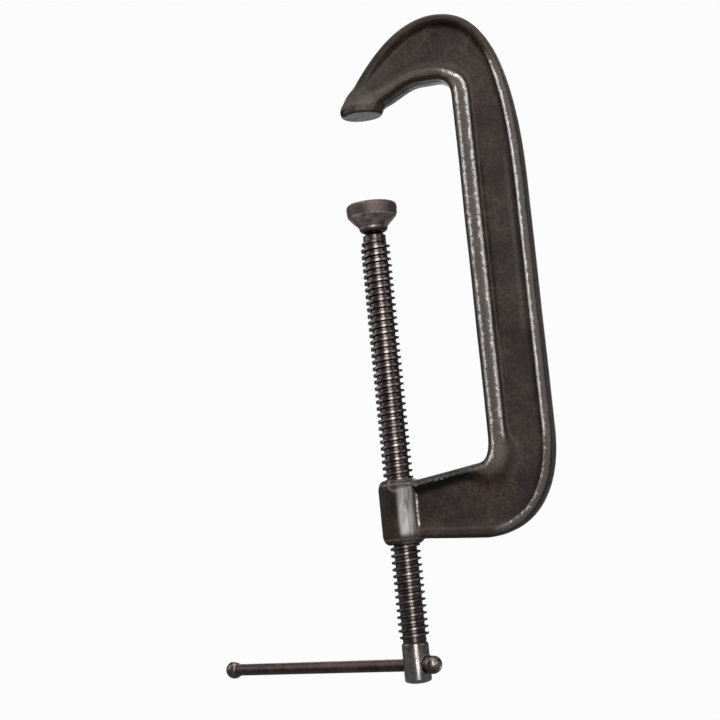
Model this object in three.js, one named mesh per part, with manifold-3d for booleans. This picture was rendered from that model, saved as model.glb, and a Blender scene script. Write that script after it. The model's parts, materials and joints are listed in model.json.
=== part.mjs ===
// A 200 mm C-clamp (G-clamp): a cast frame with a tapped boss, a coarse screw with a swivelling
// pad on its ball end, and a sliding tommy bar with two end knobs.
// Millimetres. +Z runs along the screw towards the anvil, +X runs from the screw to the spine.
// The origin is the middle of the anvil's gripping face.
import * as THREE from 'three';
import { mergeVertices } from 'three/addons/utils/BufferGeometryUtils.js';
import Module from 'manifold-3d';

const wasm = await Module();
wasm.setup();

const TURN = 2 * Math.PI;

// ---------------------------------------------------------------- driving sizes

const FRAME = {
  spineInnerX: 57,
  spineOuterX: 96,
  depth: 22,              // across the flanges, along Y
  webThickness: 12.5,
  outerRim: 6.2,          // width of the raised rim that follows the outer edge
  innerRim: 9.5,          // width of the raised rim that follows the inner edge
  recessEndX: 7,          // where the recess stops in the upper arm, beside the anvil
  edgeChamfer: 1.5,
  archTop: [49, 53.4],
  lowerEdgeZ: -262,
};

const ANVIL = { radius: 12.5, thickness: 5, flareTop: 13, flareRadius: 8.5 };

const BOSS = { radius: 12.7, topZ: -222.6, bottomZ: -261.2, chamferRadius: 2.4, chamferHeight: 3.4 };

const THREAD = { pitch: 4, crestRadius: 9, rootRadius: 7, crestHalf: 0.65, rootHalf: 1.3, segments: 12 };

// The tapped thread clears the screw by these amounts.
const TAP_ROOT_GAP = 0.6;
const TAP_CREST_GAP = 0.75;
const TAP_FLANK_GAP = 0.35;

// Heights along the screw with the jaw opened as it hangs.
const PAD_FACE_Z = -54.6;
const PAD = {
  radius: 15.5,
  faceRadius: 13.9,
  rimFootRadius: 15.1,
  rimHeight: 8,
  coneEnd: 14.6,
  height: 17.6,
  collarRadius: 8.6,
};
const BALL = { radius: 5.6, depth: 9.8, neckRadius: 3.6 };
const BALL_Z = PAD_FACE_Z - BALL.depth;
const RING = { innerRadius: 6, outerRadius: 7.1, topBelow: 1.9, bottomBelow: 4.4 };
const SOCKET_RADIUS = 6;
const RING_POCKET_RADIUS = 7.5;
const MOUTH_RADIUS = 5.3;

const CONE_TOP_Z = BALL_Z - 9.2;
const THREAD_TOP_Z = CONE_TOP_Z - 1.4;
const HEAD_TOP_Z = -318.4;
const SCREW_END_Z = -342.8;
const HEAD_RADIUS = 8;

const BAR = { radius: 3.75, tenonRadius: 2.4, z: -332, holeRadius: 4.1 };
const KNOB = { radius: 5.6, nearAt: 12.3, farAt: 158, tenonGap: 0.3 };
const KNOB_INNER_FLAT = 4.1;     // from the knob's centre to its flat against the bar
const KNOB_OUTER_FLAT = 4.7;     // from the knob's centre to its peened outer flat
// The bar's far end points this way round from +X.
const BAR_ANGLE = THREE.MathUtils.degToRad(152);

// ---------------------------------------------------------------- solids

// A closed manifold solid from any three.js geometry.
function solid(geometry) {
  const bare = geometry.clone();
  bare.deleteAttribute('normal');
  bare.deleteAttribute('uv');
  const merged = mergeVertices(bare, 1e-4);
  const index = merged.index.array;
  const triangles = [];
  for (let i = 0; i < index.length; i += 3) {
    const [a, b, c] = [index[i], index[i + 1], index[i + 2]];
    if (a !== b && b !== c && c !== a) {
      triangles.push(a, b, c);
    }
  }
  return new wasm.Manifold(new wasm.Mesh({
    numProp: 3,
    vertProperties: new Float32Array(merged.attributes.position.array),
    triVerts: new Uint32Array(triangles),
  }));
}

function geometryOf(manifold) {
  const mesh = manifold.getMesh();
  const geometry = new THREE.BufferGeometry();
  geometry.setAttribute('position', new THREE.BufferAttribute(mesh.vertProperties, 3));
  geometry.setIndex(new THREE.BufferAttribute(mesh.triVerts, 1));
  const flat = geometry.toNonIndexed();
  flat.computeVertexNormals();
  return flat;
}

// A solid turned about the Z axis. The profile is [radius, z] pairs from the bottom to the top.
function turned(profile, segments) {
  const points = profile.map(([radius, z]) => new THREE.Vector2(radius, z));
  return solid(new THREE.LatheGeometry(points, segments).rotateX(Math.PI / 2));
}

// Points of a circular arc about the axis, as [radius, z] pairs, between two heights from its centre.
function arcProfile(radius, centreZ, fromHeight, toHeight, steps) {
  const start = Math.asin(fromHeight / radius);
  const end = Math.asin(toHeight / radius);
  const points = [];
  for (let i = 0; i <= steps; i += 1) {
    const angle = start + ((end - start) * i) / steps;
    points.push([Math.max(radius * Math.cos(angle), 0), centreZ + radius * Math.sin(angle)]);
  }
  return points;
}

// A rod with a right-hand thread, as rings of points that follow the helix. The teeth fade into
// the core over the first and last part of a turn, so both ends close as plain faces.
function threadedRod({ bottomZ, startZ, turns, topZ, rootRadius, crestRadius, rootHalf, crestHalf, fadeTurns }) {
  const n = THREAD.segments;
  const last = turns * n;
  const offsets = [-rootHalf, -crestHalf, crestHalf, rootHalf];
  const positions = [];
  const triangles = [];
  const point = (step, radius, z) => {
    const angle = (TURN * (step % n)) / n;
    positions.push(radius * Math.cos(angle), radius * Math.sin(angle), z);
    return positions.length / 3 - 1;
  };
  const helixZ = (step) => startZ + (THREAD.pitch * step) / n;

  const rootLine = [];
  for (let step = 0; step <= last + n; step += 1) {
    rootLine.push(point(step, rootRadius, helixZ(step) + offsets[0]));
  }
  const teeth = [];
  for (let step = 0; step <= last; step += 1) {
    const fade = Math.min(step, last - step, fadeTurns * n) / (fadeTurns * n);
    const crest = rootRadius + (crestRadius - rootRadius) * fade;
    teeth.push([
      point(step, crest, helixZ(step) + offsets[1]),
      point(step, crest, helixZ(step) + offsets[2]),
      point(step, rootRadius, helixZ(step) + offsets[3]),
    ]);
  }
  const chain = (step) => [rootLine[step], ...teeth[step], rootLine[step + n]];
  const quad = (a, b, c, d) => triangles.push(a, b, c, a, c, d);
  for (let step = 0; step < last; step += 1) {
    const here = chain(step);
    const next = chain(step + 1);
    for (let j = 0; j < 4; j += 1) {
      quad(here[j], next[j], next[j + 1], here[j + 1]);
    }
  }

  const bottom = [];
  const top = [];
  for (let step = 0; step < n; step += 1) {
    bottom.push(point(step, rootRadius, bottomZ));
    top.push(point(step, rootRadius, topZ));
  }
  const bottomCentre = positions.push(0, 0, bottomZ) / 3 - 1;
  const topCentre = positions.push(0, 0, topZ) / 3 - 1;
  for (let step = 0; step < n; step += 1) {
    const next = (step + 1) % n;
    triangles.push(bottomCentre, bottom[next], bottom[step]);
    triangles.push(topCentre, top[step], top[next]);
    if (step < n - 1) {
      quad(bottom[step], bottom[next], rootLine[step + 1], rootLine[step]);
    }
    if (step > 0) {
      quad(rootLine[last + step], rootLine[last + step + 1], top[next], top[step]);
    }
  }
  // The first tooth's end face and the last tooth's end face lie in the two facets left over.
  const firstFacet = [bottom[0], ...chain(0), rootLine[n - 1]];
  for (let i = 0; i + 1 < firstFacet.length; i += 1) {
    triangles.push(bottom[n - 1], firstFacet[i], firstFacet[i + 1]);
  }
  const lastFacet = [top[0], ...chain(last).reverse(), rootLine[last + 1]];
  for (let i = 0; i + 1 < lastFacet.length; i += 1) {
    triangles.push(top[1], lastFacet[i], lastFacet[i + 1]);
  }

  const geometry = new THREE.BufferGeometry();
  geometry.setAttribute('position', new THREE.Float32BufferAttribute(positions, 3));
  geometry.setIndex(triangles);
  return solid(geometry);
}

// ---------------------------------------------------------------- frame

// The outer edge of the C, from beside the anvil over the arch and down to the boss.
function outerEdge() {
  const path = new THREE.Path();
  path.moveTo(-11.5, 3);
  path.bezierCurveTo(8, 36, 30, 52.6, ...FRAME.archTop);
  path.bezierCurveTo(84, 54.6, FRAME.spineOuterX, 18, FRAME.spineOuterX, -60);
  path.lineTo(FRAME.spineOuterX, -200);
  path.bezierCurveTo(FRAME.spineOuterX, -239, 80, FRAME.lowerEdgeZ, 50, FRAME.lowerEdgeZ);
  path.lineTo(0, -258.2);
  return path.getPoints(14);
}

// The inner edge of the C, from the boss round the throat to beside the anvil.
function innerEdge() {
  const path = new THREE.Path();
  path.moveTo(0, -225.5);
  path.lineTo(51, -217.4);
  path.quadraticCurveTo(FRAME.spineInnerX, -216.2, FRAME.spineInnerX, -202);
  path.lineTo(FRAME.spineInnerX, 2);
  path.quadraticCurveTo(FRAME.spineInnerX, 13.5, 46, 13.5);
  path.lineTo(38, 13.5);
  path.bezierCurveTo(27, 13.5, 22, 5, 9, 3);
  return path.getPoints(6);
}

// Moves each point of an open edge into the material, which lies on its right.
function inset(points, distance) {
  return points.map((point, i) => {
    const before = points[Math.max(i - 1, 0)];
    const after = points[Math.min(i + 1, points.length - 1)];
    const along = after.clone().sub(before).normalize();
    return new THREE.Vector2(point.x + along.y * distance, point.y - along.x * distance);
  });
}

// An outline in X and Z, extruded along Y from one side face to the other.
function slab(outline, fromY, toY, chamfer) {
  const geometry = new THREE.ExtrudeGeometry(new THREE.Shape(outline), {
    depth: toY - fromY - 2 * chamfer,
    bevelEnabled: chamfer > 0,
    bevelThickness: chamfer,
    bevelSize: chamfer,
    bevelOffset: -chamfer,
    bevelSegments: 1,
  });
  return solid(geometry.rotateX(Math.PI / 2).translate(0, toY - chamfer, 0));
}

function frameSolid() {
  const outer = outerEdge();
  const inner = innerEdge();
  const half = FRAME.depth / 2;
  let body = slab([...outer, ...inner], -half, half, FRAME.edgeChamfer);

  // A recess in each side leaves raised rims along the outer and inner edges. It stops short of
  // the anvil, and runs on to the boss, which fills its end.
  const outline = [...inset(outer, FRAME.outerRim), ...inset(inner, FRAME.innerRim)];
  const beforeAnvil = new THREE.BoxGeometry(60, 2 * FRAME.depth, 80);
  beforeAnvil.translate(FRAME.recessEndX - 30, 0, 30);
  const recesses = slab(outline, -half - 1, half + 1, 0)
    .subtract(slab([...outer, ...inner], -FRAME.webThickness / 2, FRAME.webThickness / 2, 0))
    .subtract(solid(beforeAnvil));
  body = body.subtract(recesses);

  const anvil = turned([
    [0, 0],
    [ANVIL.radius - 1, 0],
    [ANVIL.radius, 1],
    [ANVIL.radius, ANVIL.thickness],
    [ANVIL.flareRadius, ANVIL.flareTop],
    [0, ANVIL.flareTop],
  ], 32);
  const bossTip = BOSS.radius - BOSS.chamferRadius;
  const boss = turned([
    [0, BOSS.bottomZ],
    [bossTip, BOSS.bottomZ],
    [BOSS.radius, BOSS.bottomZ + BOSS.chamferHeight],
    [BOSS.radius, BOSS.topZ - BOSS.chamferHeight],
    [bossTip, BOSS.topZ],
    [0, BOSS.topZ],
  ], 32);
  return body.add(anvil).add(boss).subtract(tapSolid());
}

// ---------------------------------------------------------------- screw

const SCREW_TURNS = 60;
const SCREW_START_Z = THREAD_TOP_Z - THREAD.pitch * (SCREW_TURNS + 1) + THREAD.rootHalf;

function screwSolid() {
  const rod = threadedRod({
    ...THREAD,
    bottomZ: HEAD_TOP_Z - 6,
    startZ: SCREW_START_Z,
    turns: SCREW_TURNS,
    topZ: THREAD_TOP_Z + 0.4,
    fadeTurns: 0.75,
  });
  const tip = turned([
    [0, THREAD_TOP_Z - 2],
    [THREAD.rootRadius - 0.3, THREAD_TOP_Z - 2],
    [THREAD.rootRadius - 0.3, THREAD_TOP_Z],
    [THREAD.rootRadius - 1.2, CONE_TOP_Z],
    [BALL.neckRadius, CONE_TOP_Z + 0.4],
    ...arcProfile(BALL.radius, BALL_Z, -Math.sqrt(BALL.radius ** 2 - BALL.neckRadius ** 2), BALL.radius, 7),
  ], 20);
  const head = turned([
    [0, SCREW_END_Z],
    [4, SCREW_END_Z + 0.3],
    [HEAD_RADIUS - 1, SCREW_END_Z + 1.1],
    [HEAD_RADIUS, SCREW_END_Z + 2.1],
    [HEAD_RADIUS, HEAD_TOP_Z - 0.8],
    [THREAD.rootRadius - 0.2, HEAD_TOP_Z],
    [0, HEAD_TOP_Z],
  ], 24);
  const hole = solid(new THREE.CylinderGeometry(BAR.holeRadius, BAR.holeRadius, 3 * HEAD_RADIUS, 20)
    .rotateZ(Math.PI / 2)
    .rotateZ(BAR_ANGLE)
    .translate(0, 0, BAR.z));
  return rod.add(tip).add(head).subtract(hole);
}

// The shape that a tap leaves: the screw's thread made larger all round, in step with it.
function tapSolid() {
  const widen = (radius) => (THREAD.crestRadius - radius)
    * ((THREAD.rootHalf - THREAD.crestHalf) / (THREAD.crestRadius - THREAD.rootRadius));
  const rootRadius = THREAD.rootRadius + TAP_ROOT_GAP;
  const crestRadius = THREAD.crestRadius + TAP_CREST_GAP;
  const turnsBelow = Math.floor((BOSS.bottomZ - 12 - SCREW_START_Z) / THREAD.pitch);
  return threadedRod({
    rootRadius,
    crestRadius,
    rootHalf: THREAD.crestHalf + widen(rootRadius) + TAP_FLANK_GAP,
    crestHalf: THREAD.crestHalf + widen(crestRadius) + TAP_FLANK_GAP,
    bottomZ: BOSS.bottomZ - 20,
    startZ: SCREW_START_Z + turnsBelow * THREAD.pitch,
    turns: 16,
    topZ: BOSS.topZ + 20,
    fadeTurns: 0.75,
  });
}

// ---------------------------------------------------------------- pad and its ring

function padSolid() {
  const foot = PAD_FACE_Z - PAD.height;
  const outside = [
    [0, foot],
    [PAD.collarRadius - 1.2, foot],
    [PAD.collarRadius, foot + 1.2],
    [PAD.collarRadius, PAD_FACE_Z - PAD.coneEnd],
    [PAD.rimFootRadius, PAD_FACE_Z - PAD.rimHeight],
    [PAD.radius, PAD_FACE_Z - 2.4],
    [PAD.radius - 0.4, PAD_FACE_Z - 1],
    [PAD.faceRadius, PAD_FACE_Z],
    [0, PAD_FACE_Z],
  ];
  const socket = turned([
    ...arcProfile(SOCKET_RADIUS, BALL_Z, -SOCKET_RADIUS, SOCKET_RADIUS, 12),
  ], 20);
  // Below the ball's middle the socket widens to hold the ring, then closes in to the mouth.
  const pocketDepth = Math.sqrt(RING_POCKET_RADIUS ** 2 - MOUTH_RADIUS ** 2);
  const pocket = turned([
    [0, foot - 1],
    [MOUTH_RADIUS + 0.6, foot - 1],
    [MOUTH_RADIUS, BALL_Z - pocketDepth - 0.6],
    ...arcProfile(RING_POCKET_RADIUS, BALL_Z, -pocketDepth, -0.6, 5),
    [0, BALL_Z - 0.6],
  ], 20);
  return turned(outside, 40).subtract(socket).subtract(pocket);
}

// A split spring ring under the ball's widest part, which holds the pad on the screw.
function ringSolid() {
  const { innerRadius, outerRadius, topBelow, bottomBelow } = RING;
  const inside = arcProfile(innerRadius, BALL_Z, -bottomBelow, -topBelow, 3);
  const outside = arcProfile(outerRadius, BALL_Z, -bottomBelow, -topBelow, 3);
  const ring = turned([...outside, ...inside.reverse(), outside[0]], 20);
  const splitGap = new THREE.BoxGeometry(2 * outerRadius, 1.4, 2 * outerRadius);
  return ring.subtract(solid(splitGap.translate(outerRadius, 0, BALL_Z)));
}

// ---------------------------------------------------------------- bar and knobs

// Turns a solid made along +Z to lie along the tommy bar, at a distance from the screw's axis.
function alongBar(profile, segments) {
  const points = profile.map(([radius, at]) => new THREE.Vector2(radius, at));
  return solid(new THREE.LatheGeometry(points, segments)
    .rotateZ(-Math.PI / 2)
    .rotateZ(BAR_ANGLE)
    .translate(0, 0, BAR.z));
}

function barSolid() {
  const nearShoulder = -KNOB.nearAt + KNOB_INNER_FLAT + KNOB.tenonGap;
  const farShoulder = KNOB.farAt - KNOB_INNER_FLAT - KNOB.tenonGap;
  return alongBar([
    [0, -KNOB.nearAt - KNOB_OUTER_FLAT],
    [BAR.tenonRadius, -KNOB.nearAt - KNOB_OUTER_FLAT],
    [BAR.tenonRadius, nearShoulder],
    [BAR.radius, nearShoulder],
    [BAR.radius, farShoulder],
    [BAR.tenonRadius, farShoulder],
    [BAR.tenonRadius, KNOB.farAt + KNOB_OUTER_FLAT],
    [0, KNOB.farAt + KNOB_OUTER_FLAT],
  ], 20);
}

// A ball knob bored right through for the bar's tenon. outward is -1 at the near end, 1 at the far end.
function knobSolid(at, outward) {
  const bore = BAR.tenonRadius + KNOB.tenonGap;
  const low = outward > 0 ? -KNOB_INNER_FLAT : -KNOB_OUTER_FLAT;
  const high = outward > 0 ? KNOB_OUTER_FLAT : KNOB_INNER_FLAT;
  const ball = arcProfile(KNOB.radius, at, low, high, 8);
  return alongBar([[bore, at + low], ...ball, [bore, at + high], [bore, at + low]], 20);
}

// ---------------------------------------------------------------- assembly

function piece(name, manifold, colour, roughness, metalness) {
  const material = new THREE.MeshStandardMaterial({ color: colour, roughness, metalness });
  const mesh = new THREE.Mesh(geometryOf(manifold), material);
  mesh.name = name;
  return mesh;
}

const clamp = new THREE.Group();
clamp.add(piece('frame', frameSolid(), 0x2e2926, 0.5, 0.6));
clamp.add(piece('screw', screwSolid(), 0x3a3330, 0.35, 0.8));
clamp.add(piece('swivel_pad', padSolid(), 0x423a37, 0.45, 0.7));
clamp.add(piece('pad_retaining_ring', ringSolid(), 0x6a6663, 0.35, 0.9));
clamp.add(piece('tommy_bar', barSolid(), 0x3b3131, 0.4, 0.8));
clamp.add(piece('bar_knob_near', knobSolid(-KNOB.nearAt, -1), 0x3b3131, 0.35, 0.8));
clamp.add(piece('bar_knob_far', knobSolid(KNOB.farAt, 1), 0x3b3131, 0.35, 0.8));

export default clamp;
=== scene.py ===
# The looks of the C-clamp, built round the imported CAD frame. Shapes are worked out in millimetres
# in the CAD's own frame (+Z along the screw, +X towards the spine) and stored in metres.
import json
import math

import bmesh
import bpy
import numpy as np
from mathutils import Matrix, Vector


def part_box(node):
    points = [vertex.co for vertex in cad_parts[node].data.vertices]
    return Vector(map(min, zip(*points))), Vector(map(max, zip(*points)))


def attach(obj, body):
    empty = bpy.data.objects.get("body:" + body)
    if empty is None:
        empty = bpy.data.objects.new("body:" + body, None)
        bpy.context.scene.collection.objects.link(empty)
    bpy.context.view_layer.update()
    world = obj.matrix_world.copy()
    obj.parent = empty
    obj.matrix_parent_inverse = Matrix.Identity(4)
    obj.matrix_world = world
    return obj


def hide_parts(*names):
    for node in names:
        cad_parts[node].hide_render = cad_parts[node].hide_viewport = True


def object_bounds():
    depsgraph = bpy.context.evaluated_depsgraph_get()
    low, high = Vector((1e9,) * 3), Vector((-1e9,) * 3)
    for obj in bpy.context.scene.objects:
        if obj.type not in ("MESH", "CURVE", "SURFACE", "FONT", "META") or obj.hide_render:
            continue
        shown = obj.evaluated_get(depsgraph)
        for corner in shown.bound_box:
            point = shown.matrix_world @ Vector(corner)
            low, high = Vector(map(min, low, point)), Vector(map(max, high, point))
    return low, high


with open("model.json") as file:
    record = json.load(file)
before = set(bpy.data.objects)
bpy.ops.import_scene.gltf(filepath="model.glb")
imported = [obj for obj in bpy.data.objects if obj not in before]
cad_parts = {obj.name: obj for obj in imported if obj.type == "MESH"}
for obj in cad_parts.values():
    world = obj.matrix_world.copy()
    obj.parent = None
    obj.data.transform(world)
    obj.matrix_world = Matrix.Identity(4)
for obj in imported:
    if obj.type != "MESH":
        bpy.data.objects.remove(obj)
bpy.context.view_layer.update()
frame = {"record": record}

MM = 0.001
TURN = 2 * math.pi


def box_mm(node):
    """The lowest and highest corners of a CAD node, in millimetres."""
    low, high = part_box(node)
    return np.array(low) / MM, np.array(high) / MM


joints = {joint["name"]: joint for joint in frame["record"]["behaviour"]["joints"]}


# ---------------------------------------------------------------- places, from the frame

FRAME_LOW, FRAME_HIGH = box_mm("frame")
SCREW_LOW, SCREW_HIGH = box_mm("screw")
PAD_LOW, PAD_HIGH = box_mm("swivel_pad")
BAR_LOW, BAR_HIGH = box_mm("tommy_bar")

SPINE_OUTER_X = FRAME_HIGH[0]
LOWER_EDGE_Z = FRAME_LOW[2]
BOSS_RADIUS = FRAME_HIGH[1]
BALL_Z = joints["pad_tilt"]["pos_m"][2] / MM
BAR_AXIS = -np.array(joints["bar_slide"]["axis"])   # towards the bar's far end
BAR_Z = (BAR_LOW[2] + BAR_HIGH[2]) / 2

# The boxes don't give these, so they repeat the CAD's own sizes.
SPINE_INNER_X = 57.0
BOSS_TOP_Z = -222.6
BOSS_BOTTOM_Z = -261.2


# ---------------------------------------------------------------- mesh helpers

def new_piece(name, vertices, faces, sharp_degrees=40):
    """A smooth-shaded object from vertices in millimetres."""
    mesh = bpy.data.meshes.new(name)
    mesh.from_pydata((np.asarray(vertices, float) * MM).tolist(), [], faces)
    mesh.update()
    piece = bpy.data.objects.new(name, mesh)
    bpy.context.collection.objects.link(piece)
    shade(piece, sharp_degrees)
    return piece


def shade(piece, sharp_degrees):
    """Smooth shading, except across edges that turn by more than the given angle."""
    mesh = piece.data
    mesh.polygons.foreach_set("use_smooth", [True] * len(mesh.polygons))
    mesh.set_sharp_from_angle(angle=math.radians(sharp_degrees))


def combined(piece, tool, operation):
    """Joins a closed tool mesh to a closed piece, or cuts it away, and deletes the tool."""
    modifier = piece.modifiers.new("combine", "BOOLEAN")
    modifier.operation = operation
    modifier.solver = "MANIFOLD"
    modifier.object = tool
    depsgraph = bpy.context.evaluated_depsgraph_get()
    mesh = bpy.data.meshes.new_from_object(piece.evaluated_get(depsgraph))
    piece.modifiers.clear()
    piece.data = mesh
    mesh.name = piece.name
    bpy.data.objects.remove(tool)


def without_slivers(piece, reach=0.002):
    """Merges points that the joins and cuts left a hair apart, and splits the many-sided faces."""
    work = bmesh.new()
    work.from_mesh(piece.data)
    bmesh.ops.remove_doubles(work, verts=work.verts, dist=reach * MM)
    bmesh.ops.dissolve_degenerate(work, edges=work.edges, dist=reach * MM)
    bmesh.ops.triangulate(work, faces=[face for face in work.faces if len(face.verts) > 4])
    work.to_mesh(piece.data)
    work.free()


def vertex_array(piece):
    """A piece's vertices in millimetres, one row each."""
    co = np.empty(len(piece.data.vertices) * 3)
    piece.data.vertices.foreach_get("co", co)
    return co.reshape(-1, 3) / MM


def store_vertex_amount(piece, amount, name="wear"):
    """Stores an amount from 0 to 1 at each vertex for the materials to read, such as its wear; on the
    frame two of them hold a painted highlight and painted shade.
    """
    attribute = piece.data.attributes.new(name, "FLOAT", "POINT")
    attribute.data.foreach_set("value", np.clip(amount, 0, 1).astype(np.float32))


def arc(radius, centre_z, from_height, to_height, steps):
    """Points of a circle about the axis as (radius, z), between two heights from its centre."""
    angles = np.linspace(math.asin(from_height / radius), math.asin(to_height / radius), steps + 1)
    return [(max(radius * math.cos(a), 0.0), centre_z + radius * math.sin(a)) for a in angles]


def rounded(profile, radius, steps=4):
    """The open profile with each corner between its ends replaced by a small curve of about radius."""
    points = [profile[0]]
    for before, corner, after in zip(profile, profile[1:], profile[2:]):
        before, corner, after = (np.array(p, float) for p in (before, corner, after))
        reach_in = min(radius, 0.45 * np.linalg.norm(corner - before))
        reach_out = min(radius, 0.45 * np.linalg.norm(after - corner))
        start = corner + (before - corner) / np.linalg.norm(before - corner) * reach_in
        end = corner + (after - corner) / np.linalg.norm(after - corner) * reach_out
        for t in np.linspace(0, 1, steps + 1):
            points.append(tuple((1 - t) ** 2 * start + 2 * t * (1 - t) * corner + t ** 2 * end))
    points.append(profile[-1])
    return points


def turned(profile, segments, closed=False):
    """Vertices and faces of a profile of (radius, z) turned about Z, anticlockwise seen from outside.
    An open profile starts and ends on the axis. A closed one never touches it."""
    profile = np.array(profile, float)
    angles = TURN * np.arange(segments) / segments
    inner = profile if closed else profile[1:-1]
    rings = np.stack([
        inner[:, :1] * np.cos(angles),
        inner[:, :1] * np.sin(angles),
        np.repeat(inner[:, 1:], segments, axis=1),
    ], axis=2).reshape(-1, 3)
    faces = []
    count = len(inner)
    for row in range(count if closed else count - 1):
        low, high = row * segments, ((row + 1) % count) * segments
        for i in range(segments):
            j = (i + 1) % segments
            faces.append((low + i, low + j, high + j, high + i))
    if closed:
        return rings, faces
    bottom, top = len(rings), len(rings) + 1
    last = (count - 1) * segments
    for i in range(segments):
        j = (i + 1) % segments
        faces.append((bottom, j, i))
        faces.append((top, last + i, last + j))
    ends = [(0, 0, profile[0, 1]), (0, 0, profile[-1, 1])]
    return np.vstack([rings, ends]), faces


def along_bar(vertices):
    """Vertices made along Z, laid along the tommy bar with distances from the screw's axis."""
    up = np.array([0.0, 0.0, 1.0])
    across = np.cross(BAR_AXIS, up)
    v = np.asarray(vertices)
    return v[:, :1] * up + v[:, 1:2] * across + v[:, 2:] * BAR_AXIS + np.array([0, 0, BAR_Z])


# ---------------------------------------------------------------- fields, curves and surfaces

def smax(a, b, k):
    """The larger of two fields, rounded over where they are within k of each other."""
    return np.maximum(a, b) + np.maximum(k - np.abs(a - b), 0) ** 2 / (4 * k)


def smin(a, b, k):
    """The smaller of two fields, rounded over in the same way."""
    return -smax(-a, -b, k)


def smoothstep(value, low, high):
    """0 at low and 1 at high, with a smooth rise between. Low may be the larger number."""
    t = np.clip((value - low) / (high - low), 0, 1)
    return t * t * (3 - 2 * t)


def peak(value, middle, width):
    """1 at the middle, falling away smoothly on both sides of it."""
    return np.exp(-((value - middle) / width) ** 2)


def band(value, middle, reach, crown=1.0):
    """1 in the middle and 0 beyond reach on both sides. A crown over 1 makes the middle broad and flat."""
    return np.clip(crown - np.abs(value - middle) / reach, 0, 1)


def bezier(a, b, c, d, steps=64):
    """Points of the cubic curve from a to d, with b and c as its handles."""
    t = np.linspace(0, 1, steps + 1)[:, None]
    a, b, c, d = (np.array(p, float) for p in (a, b, c, d))
    return (1 - t) ** 3 * a + 3 * t * (1 - t) ** 2 * b + 3 * t ** 2 * (1 - t) * c + t ** 3 * d


def quadratic(a, b, c, steps=24):
    """Points of the curve from a to c, with b as its one handle."""
    t = np.linspace(0, 1, steps + 1)[:, None]
    a, b, c = (np.array(p, float) for p in (a, b, c))
    return (1 - t) ** 2 * a + 2 * t * (1 - t) * b + t ** 2 * c


def distance_to(line, x, z):
    """The distance from each point to an open line of points in X and Z."""
    best = np.full(x.shape, np.inf)
    for (ax, az), (bx, bz) in zip(line[:-1], line[1:]):
        dx, dz = bx - ax, bz - az
        length2 = dx * dx + dz * dz
        if length2 == 0:
            continue
        t = np.clip(((x - ax) * dx + (z - az) * dz) / length2, 0, 1)
        best = np.minimum(best, (x - ax - t * dx) ** 2 + (z - az - t * dz) ** 2)
    return np.sqrt(best)


def inside(loop, x, z):
    """Whether each point is inside a closed loop of points in X and Z."""
    found = np.zeros(x.shape, bool)
    for (ax, az), (bx, bz) in zip(loop, np.roll(loop, -1, axis=0)):
        if az != bz:
            crosses = ((az > z) != (bz > z)) & (x < (bx - ax) * (z - az) / (bz - az) + ax)
            found ^= crosses
    return found


def surface_net(field, xs, ys, zs):
    """A quad mesh of the surface where the field is 0, on a grid whose spacing may vary."""
    x, y, z = np.meshgrid(xs, ys, zs, indexing="ij")
    values = field(x, y, z)
    solid = values < 0
    shape = tuple(n - 1 for n in solid.shape)
    total = np.zeros(shape + (3,))
    hits = np.zeros(shape)
    axes = (x, y, z)
    corners = [(i, j, k) for i in (0, 1) for j in (0, 1) for k in (0, 1)]

    def at(array, corner):
        """The values at one corner of every grid cell."""
        return array[tuple(slice(c, c + n) for c, n in zip(corner, shape))]

    for start in corners:
        for axis in range(3):
            if start[axis]:
                continue
            end = tuple(c + (a == axis) for a, c in enumerate(start))
            crossing = at(solid, start) != at(solid, end)
            low, high = at(values, start)[crossing], at(values, end)[crossing]
            t = low / (low - high)
            for a in range(3):
                p, q = at(axes[a], start)[crossing], at(axes[a], end)[crossing]
                total[crossing, a] += p + t * (q - p)
            hits[crossing] += 1
    used = hits > 0
    index = np.full(shape, -1)
    index[used] = np.arange(used.sum())
    vertices = total[used] / hits[used][:, None]

    # Each grid edge that leaves or enters the solid gets a quad of the four cells round it.
    quads = []
    for axis in range(3):
        b, c = (axis + 1) % 3, (axis + 2) % 3
        low = [slice(1, -1)] * 3
        low[axis] = slice(0, -1)
        high = list(low)
        high[axis] = slice(1, None)
        here, there = solid[tuple(low)], solid[tuple(high)]
        for leaving in (True, False):
            edges = np.argwhere(here & ~there if leaving else ~here & there)
            edges[:, b] += 1
            edges[:, c] += 1

            def cell(db, dc):
                moved = edges.copy()
                moved[:, b] += db
                moved[:, c] += dc
                return index[tuple(moved.T)]

            ring = [cell(-1, -1), cell(0, -1), cell(0, 0), cell(-1, 0)]
            quads.append(np.stack(ring if leaving else ring[::-1], axis=1))
    return vertices, np.vstack(quads)


def settled(field, vertices, rounds=2, step=0.02, least_steepness=0.2, furthest=0.5):
    """Vertices moved along the field's slope on to the surface where it is 0."""
    for _ in range(rounds):
        here = field(*vertices.T)
        slope = np.stack([
            field(*(vertices + step * np.eye(3)[a]).T) - here for a in range(3)
        ], axis=1) / step
        steepness = np.maximum((slope ** 2).sum(1), least_steepness)
        vertices = vertices - slope * np.clip(here / steepness, -furthest, furthest)[:, None]
    return vertices


# ---------------------------------------------------------------- the cast frame

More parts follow.
